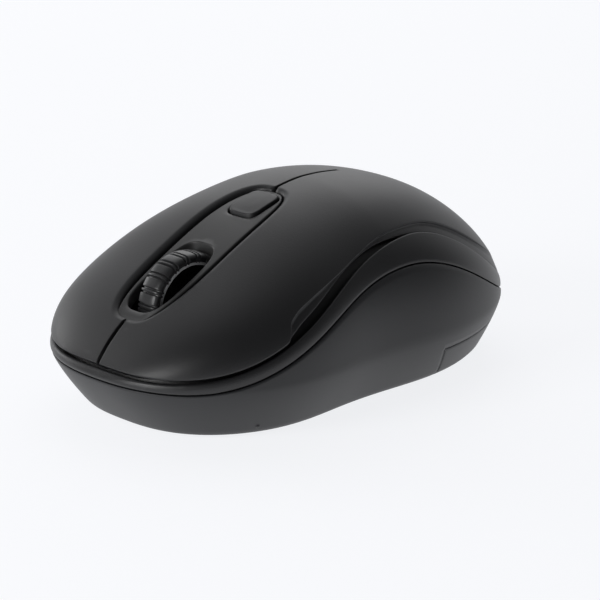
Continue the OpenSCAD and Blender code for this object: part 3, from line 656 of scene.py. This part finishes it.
def door_skin():
    """Smooth outer skin of the battery door's wrap round the tail."""
    f = np.linspace(0, 1, 110)
    rows = []
    top = DOOR_TOP
    for z, depth in ((top, 1.2), (top, 0.22), (top - 0.06, 0.07)):
        rows.append((z, depth))
    for z in np.linspace(top - 0.22, BASE_Z + EDGE_TOP, 12):
        rows.append((z, 0.0))
    grid = []
    for z, depth in rows:
        a = math.acos(door_edge(z) / HALF_L) / math.pi
        y = HALF_L * np.cos(np.pi * (a + (1 - a) * f))
        p = form_points(y, np.full_like(y, z), depth)
        p[-1, 0] = 0
        grid.append(p)
    wall = grid[-1]
    inward = unit(form_points(y, np.full_like(y, z), 2.0) - wall)
    for up, inside in FOOT_EDGE:
        p = wall + inward * inside
        p[:, 2] = BASE_Z + up - FOOT_SINK
        p[-1, 0] = 0
        grid.append(p)
    points = np.stack(grid, 1)
    points[:, 3:] = proud(points, SKIN_LIFT)[:, 3:]
    points[-1, :, 0] = 0
    v, faces = mirrored(points.reshape(-1, 3), grid_faces(*points.shape[:2]))
    obj = new_piece("door_skin", v, faces, "door", "base_black", (), 50)
    thicken(obj, 0.5)


def thicken(obj, depth):
    """Gives an open skin a real wall on its inner side."""
    solid = obj.modifiers.new("wall", "SOLIDIFY")
    solid.thickness = depth * MM
    solid.offset = -1


# ---------------------------------------------------------------- plates of the centre strip
def outline_loop(hw, rear, front, power, count):
    x, y = superellipse(hw, rear, front, power, 0, 360, 2400)
    points = np.stack([x, y, 0 * x], 1)[:-1]
    closed = np.concatenate([points, points[:1]])
    length = arc(closed)
    return at_length(closed, np.linspace(0, length[-1], count, endpoint=False))[:, :2]


def loop_out(loop):
    """Outward directions in plan along an anticlockwise loop."""
    t = np.roll(loop, -1, 0) - np.roll(loop, 1, 0)
    return unit(np.stack([t[:, 1], -t[:, 0]], 1))


def plate(name, outer, holes, height, body, finish, replaced, fillet=0.28, wall=2.0, cell=0.9):
    """A thin curved plate with rounded edges: height(x, y) is its top."""
    loops = [(outer, 1.0)] + [(h, -1.0) for h in holes]
    rims = [loop - loop_out(loop) * sign * fillet for loop, sign in loops]
    gx = np.arange(outer[:, 0].min(), outer[:, 0].max(), cell)
    gy = np.arange(outer[:, 1].min(), outer[:, 1].max(), cell)
    grid = np.stack(np.meshgrid(gx, gy), -1).reshape(-1, 2)
    keep = np.ones(len(grid), bool)
    for k, rim in enumerate(rims):
        keep &= inside(grid, rim) == (k == 0)
        gap = np.min(np.linalg.norm(grid[:, None] - rim[None], axis=2), axis=1)
        keep &= gap > cell * 0.45
    flat = [tuple(p) for rim in rims for p in rim] + [tuple(p) for p in grid[keep]]
    edges, start = [], 0
    for rim in rims:
        edges += [(start + i, start + (i + 1) % len(rim)) for i in range(len(rim))]
        start += len(rim)
    points, _, faces, *_ = geometry.delaunay_2d_cdt([Vector(p) for p in flat], edges, [], 1, 1e-4)
    points = np.array([tuple(p) for p in points])
    centres = np.array([points[list(f)].mean(0) for f in faces])
    wanted = np.ones(len(faces), bool)
    for rim in rims[1:]:
        wanted &= ~inside(centres, rim)
    faces = [list(f) for f, w in zip(faces, wanted) if w]
    vertices = [np.column_stack([points, height(points[:, 0], points[:, 1])])]
    count = len(points)
    for (loop, sign), rim in zip(loops, rims):
        out = loop_out(loop) * sign
        n = len(rim)
        profile = [(0, 0)] + [(fillet * math.sin(a), fillet * (1 - math.cos(a)))
                              for a in np.radians([18, 36, 54, 72, 90])] + [(fillet, fillet + wall)]
        rows = []
        for e, h in profile:
            p = rim + out * e
            rows.append(np.column_stack([p, height(rim[:, 0], rim[:, 1]) - h]))
        block = np.stack(rows, 1).reshape(-1, 3)
        faces += grid_faces(n, len(profile), loop_columns=True, start=count)
        vertices.append(block)
        count += len(block)
    return new_piece(name, np.concatenate(vertices), faces, body, finish, replaced, 45)


def inside(points, loop):
    """Which plan points lie inside a closed loop."""
    x, y = points[:, 0][:, None], points[:, 1][:, None]
    a, b = loop, np.roll(loop, -1, 0)
    crosses = (a[None, :, 1] > y) != (b[None, :, 1] > y)
    with np.errstate(divide="ignore", invalid="ignore"):
        at = (a[None, :, 0] + (y - a[None, :, 1]) * (b[None, :, 0] - a[None, :, 0])
              / (b[None, :, 1] - a[None, :, 1]))
    return (np.sum(crosses & (x < at), axis=1) % 2).astype(bool)


CONSOLE_DROP = 0.72
KEY = dict(hw=3.7, rear=4.9, front=13.1)
SLOT = dict(hw=5.0, rear=22.1, front=39.9)


def console():
    outer = outline_loop(6.5, 3.4, 42.8, 2 / 3, 220)
    slot = outline_loop(SLOT["hw"], SLOT["rear"], SLOT["front"], 0.62, 120)
    key = outline_loop(KEY["hw"] + 0.25, KEY["rear"] - 0.25, KEY["front"] + 0.25, 0.45, 110)
    plate("console_plate", outer, [slot, key], lambda x, y: dome_z(x, y) - CONSOLE_DROP, "root",
          "console_black", ("centre_console",), 0.35, 2.2)


def key_cap():
    outer = outline_loop(KEY["hw"], KEY["rear"], KEY["front"], 0.45, 110)
    middle = (KEY["rear"] + KEY["front"]) / 2

    def top(x, y):
        r = np.sqrt((x / KEY["hw"]) ** 2 + ((y - middle) / 4.1) ** 2)
        return dome_z(x, y) - CONSOLE_DROP + 0.62 - 0.10 * smooth((r - 0.35) / 0.7)

    plate("key_cap", outer, [], top, "key", "key_grey", ("speed_key",), 0.3, 2.6, 0.6)


# ---------------------------------------------------------------- the wheel
WHEEL = np.array(joint("wheel_spin")["pos_m"]) / MM
TYRE_HW = (span("wheel_tyre", 0)[1] - span("wheel_tyre", 0)[0]) / 2
TYRE_R = (span("wheel_tyre", 2)[1] - span("wheel_tyre", 2)[0]) / 2
PITCH = 18.0


def revolve(profile, count, radius_change=None):
    """Surface of revolution about the wheel's axle from (x, r) pairs."""
    a = np.arange(count) * 2 * np.pi / count
    x, r = profile[:, 0], profile[:, 1]
    grid_r = np.tile(r, (count, 1))
    if radius_change is not None:
        grid_r = grid_r + radius_change(a)[:, None] * (r > TYRE_R - 1.6)[None, :]
    points = np.stack([np.tile(x, (count, 1)), grid_r * np.sin(a)[:, None],
                       grid_r * np.cos(a)[:, None]], -1)
    return points.reshape(-1, 3) + WHEEL


def tread(a):
    """Depth of the paired grooves across the tyre at an angle."""
    d = np.degrees(a) % PITCH
    near = np.minimum(np.abs(d - 6.5), np.abs(d - 11.5))
    return -0.55 * (1 - smooth((near - 0.7) / 0.9))


def wheel():
    hw, r = TYRE_HW, TYRE_R
    side = [(hw - 0.55, 7.9), (hw - 0.4, 8.6), (hw - 0.12, 9.1), (hw, 9.35), (hw, 9.6), (hw - 0.1, 9.85),
            (hw - 0.35, 10.1), (hw - 0.8, 10.28), (hw - 1.5, 10.37), (0.6, r)]
    profile = np.array(side + [(-x, rr) for x, rr in side[::-1]])
    points = revolve(profile, 720, tread)
    faces = grid_faces(720, len(profile), loop_columns=True, loop_rows=True)
    new_piece("tyre", points, faces, "wheel", "tyre_rubber", ("wheel_tyre",), 32)

    reach = (span("wheel_hub", 0)[1] - span("wheel_hub", 0)[0]) / 2
    side = [(hw - 0.5, 8.75), (hw - 0.3, 8.62), (hw - 0.25, 8.5), (hw - 0.3, 8.3), (hw - 0.75, 8.05),
            (hw - 1.0, 7.8), (hw - 1.05, 7.4), (hw - 1.05, 3.2), (hw - 0.9, 2.9), (hw - 0.4, 2.6),
            (hw - 0.2, 2.3), (hw - 0.2, 1.3), (reach, 1.2), (reach, 0.01)]
    profile = np.array([(0.0, 8.8)] + side)
    other = np.array([(-x, rr) for x, rr in side[::-1]])
    profile = np.concatenate([profile, other])
    points = revolve(profile, 180)
    faces = grid_faces(180, len(profile), loop_columns=True, loop_rows=True)
    new_piece("hub", points, faces, "wheel", "hub_gloss", ("wheel_hub",), 28)

    # thin light grey rings on each side of the hub: a painted highlight standing in for the glint on the hub's
    # glossy black rim
    for side, name in ((-1, "left_highlight_ring"), (1, "right_highlight_ring")):
        a = np.radians(np.arange(0, 360, 30))
        profile = np.stack([side * (hw - 0.28) + 0.2 * np.cos(a), 8.42 + 0.30 * np.sin(a)], 1)
        points = revolve(profile, 180)
        new_piece(name, points, grid_faces(180, len(profile), True, True), "wheel", "ring_polish")


# ---------------------------------------------------------------- materials
def nodes_of(name):
    material = bpy.data.materials.new(name)
    material.use_nodes = True
    tree = material.node_tree
    shader = next(n for n in tree.nodes if n.type == "BSDF_PRINCIPLED")
    return material, tree, shader


def plastic(name, colour, roughness, grain=0.0, grain_scale=3200.0, spread=0.06, edge_highlight=0.35,
            metallic=0.0, specular=0.5):
    """Moulded plastic or metal: tone drift, fine grain, uneven roughness, and convex edges lightened as a painted
    highlight.
    """
    material, tree, shader = nodes_of(name)
    new, link = tree.nodes.new, tree.links.new
    place = new("ShaderNodeTexCoord")
    drift = new("ShaderNodeTexNoise")
    drift.inputs["Scale"].default_value = 55.0
    drift.inputs["Detail"].default_value = 3.0
    link(place.outputs["Object"], drift.inputs["Vector"])
    ramp = new("ShaderNodeMix")
    ramp.data_type = "RGBA"
    ramp.inputs["A"].default_value = (*[c * (1 - spread) for c in colour], 1)
    ramp.inputs["B"].default_value = (*[c * (1 + spread) for c in colour], 1)
    link(drift.outputs["Fac"], ramp.inputs["Factor"])
    # painted highlight: convex edges, found by pointiness, are mixed towards a lighter copy of the colour
    edge = new("ShaderNodeNewGeometry")
    sharpen = new("ShaderNodeMapRange")
    sharpen.inputs["From Min"].default_value = 0.52
    sharpen.inputs["From Max"].default_value = 0.62
    sharpen.inputs["To Max"].default_value = edge_highlight
    link(edge.outputs["Pointiness"], sharpen.inputs["Value"])
    edge_highlight_mix = new("ShaderNodeMix")
    edge_highlight_mix.data_type = "RGBA"
    edge_highlight_mix.inputs["B"].default_value = (*[min(1, c * 1.9 + 0.01) for c in colour], 1)
    link(sharpen.outputs["Result"], edge_highlight_mix.inputs["Factor"])
    link(ramp.outputs["Result"], edge_highlight_mix.inputs["A"])
    link(edge_highlight_mix.outputs["Result"], shader.inputs["Base Color"])
    rough = new("ShaderNodeMapRange")
    rough.inputs["To Min"].default_value = roughness - 0.04
    rough.inputs["To Max"].default_value = roughness + 0.05
    link(drift.outputs["Fac"], rough.inputs["Value"])
    link(rough.outputs["Result"], shader.inputs["Roughness"])
    shader.inputs["Metallic"].default_value = metallic
    shader.inputs["Specular IOR Level"].default_value = specular
    if grain:
        fine = new("ShaderNodeTexNoise")
        fine.inputs["Scale"].default_value = grain_scale
        fine.inputs["Detail"].default_value = 4.0
        link(place.outputs["Object"], fine.inputs["Vector"])
        bump = new("ShaderNodeBump")
        bump.inputs["Strength"].default_value = grain
        bump.inputs["Distance"].default_value = 0.00005
        link(fine.outputs["Fac"], bump.inputs["Height"])
        link(bump.outputs["Normal"], shader.inputs["Normal"])
    return material


FINISHES = {
    "base_black": ((0.013, 0.0135, 0.015), 0.46, 0.35),
    "frame_black": ((0.0145, 0.0145, 0.0155), 0.40, 0.30),
    "top_black": ((0.014, 0.014, 0.015), 0.44, 0.5),
    "console_black": ((0.022, 0.022, 0.022), 0.40, 0.25),
    "key_grey": ((0.012, 0.012, 0.013), 0.46, 0.25),
    "tyre_rubber": ((0.022, 0.022, 0.023), 0.34, 0.25),
    "hub_gloss": ((0.006, 0.006, 0.006), 0.12, 0.0),
    # light grey colour for those rings: a painted highlight, not a real trim
    "ring_polish": ((0.62, 0.62, 0.63), 0.2, 0.0),
}
MATERIALS = {}


def make_materials():
    for name, (colour, roughness, grain) in FINISHES.items():
        MATERIALS[name] = plastic(name, colour, roughness, grain)


# Finishes of what the CAD carries: roughness, grain, metallic, specular
CLASSES = {
    "matte_plastic": (0.48, 0.25, 0.0, 0.5), "gloss_plastic": (0.16, 0.0, 0.0, 0.5),
    "rubber": (0.62, 0.3, 0.0, 0.4), "glass": (0.06, 0.0, 0.0, 0.5),
    "brushed_steel": (0.30, 0.2, 1.0, 0.5), "chrome": (0.12, 0.05, 1.0, 0.5),
    "brass": (0.22, 0.05, 1.0, 0.5),
}


def dress_cad():
    """Gives every carried-over CAD node a procedural finish of its slot's colour."""
    record = frame["record"]
    for entry in record["materials"]:
        slot = entry["slot"]
        if slot in MATERIALS:
            continue
        rough, grain, metal, specular = CLASSES[entry["class"]]
        colour = tuple(entry["base_color"][:3])
        # the seventh argument, 0.3, is the strength of the painted edge highlight
        MATERIALS[slot] = plastic("cad_" + slot, colour, rough, grain, 1400.0, 0.05, 0.3,
                                  metal, specular)
        if entry["class"] == "glass":
            shader = next(n for n in MATERIALS[slot].node_tree.nodes
                          if n.type == "BSDF_PRINCIPLED")
            shader.inputs["Transmission Weight"].default_value = 0.75
    for part in record["subparts"]:
        obj = nodes.get(part["node"])
        if obj is None:
            continue
        finish = MATERIALS[part["material_slot"]]
        if obj.data.materials:
            for k in range(len(obj.data.materials)):
                obj.material_slots[k].material = finish
        else:
            obj.data.materials.append(finish)


# ---------------------------------------------------------------- camera, floor and light
CAMERA_AZIMUTH, CAMERA_ELEVATION = 225.401, 18.078
CAMERA_PLACE = (-377.2, 368.2, 187.0)
LENS = 165.6


def add_camera():
    a, e = math.radians(CAMERA_AZIMUTH), math.radians(CAMERA_ELEVATION)
    back = Vector((math.sin(a) * math.cos(e), -math.cos(a) * math.cos(e), math.sin(e)))
    right = Vector((math.cos(a), math.sin(a), 0))
    up = back.cross(right)
    camera = bpy.data.objects.new("camera", bpy.data.cameras.new("camera"))
    bpy.context.scene.collection.objects.link(camera)
    place = Vector(CAMERA_PLACE) * MM
    camera.matrix_world = Matrix(((right.x, up.x, back.x, place.x), (right.y, up.y, back.y, place.y),
                                  (right.z, up.z, back.z, place.z), (0, 0, 0, 1)))
    camera.data.lens = LENS
    camera.data.sensor_width = 36
    camera.data.clip_start = 0.02
    bpy.context.scene.camera = camera


def add_floor():
    size = 4.0
    mesh = bpy.data.meshes.new("floor")
    mesh.from_pydata([(-size, -size, 0), (size, -size, 0), (size, size, 0), (-size, size, 0)], [],
                     [(0, 1, 2, 3)])
    floor = bpy.data.objects.new("floor", mesh)
    bpy.context.scene.collection.objects.link(floor)
    material, _, shader = nodes_of("pale_floor")
    shader.inputs["Base Color"].default_value = (0.20, 0.20, 0.205, 1)
    shader.inputs["Emission Color"].default_value = (0.965, 0.975, 1.0, 1)
    shader.inputs["Emission Strength"].default_value = FLOOR_GLOW
    shader.inputs["Roughness"].default_value = 0.85
    shader.inputs["Specular IOR Level"].default_value = 0.1
    mesh.materials.append(material)


LIGHTS = (  # name, place (m), aimed at (m), size (m), watts
    ("behind", (0.55, -0.55, 0.50), (0, 0, 0.02), 0.6, 1.0),
    ("nose_side", (0.10, 0.80, 0.30), (0, 0.03, 0.02), 0.35, 3.4),
    ("far_side", (0.80, 0.20, 0.25), (0, 0, 0.02), 0.4, 1.2),
)


SKY_SIDE = (0.72, -0.66, 0.20)
SKY_LEVELS = (0.05, 1.0, 0.06, 0.85)
FLOOR_GLOW = 0.86


def add_lights():
    for name, place, aim, size, power in LIGHTS:
        light = bpy.data.lights.new(name, "AREA")
        light.energy = power
        light.size = size
        obj = bpy.data.objects.new(name, light)
        obj.location = place
        obj.rotation_euler = (Vector(aim) - Vector(place)).to_track_quat("-Z", "Y").to_euler()
        bpy.context.scene.collection.objects.link(obj)
    world = bpy.data.worlds.new("studio")
    world.use_nodes = True
    sky = next(n for n in world.node_tree.nodes if n.type == "BACKGROUND")
    sky.inputs["Color"].default_value = (0.97, 0.975, 1.0, 1)
    # the room is bright overhead and behind, and dark on the viewer's side
    tree = world.node_tree
    way = tree.nodes.new("ShaderNodeTexCoord")
    toward = tree.nodes.new("ShaderNodeVectorMath")
    toward.operation = "DOT_PRODUCT"
    toward.inputs[1].default_value = SKY_SIDE
    level = tree.nodes.new("ShaderNodeMapRange")
    level.interpolation_type = "SMOOTHSTEP"
    for socket, value in zip(("From Min", "From Max", "To Min", "To Max"), SKY_LEVELS):
        level.inputs[socket].default_value = value
    tree.links.new(way.outputs["Generated"], toward.inputs[0])
    tree.links.new(toward.outputs["Value"], level.inputs["Value"])
    tree.links.new(level.outputs["Result"], sky.inputs["Strength"])
    bpy.context.scene.world = world
    bpy.context.scene.view_settings.view_transform = "Standard"


make_materials()
top_skin()
band()
lower_skin()
door_skin()
console()
key_cap()
wheel()
dress_cad()
add_camera()
add_floor()
add_lights()
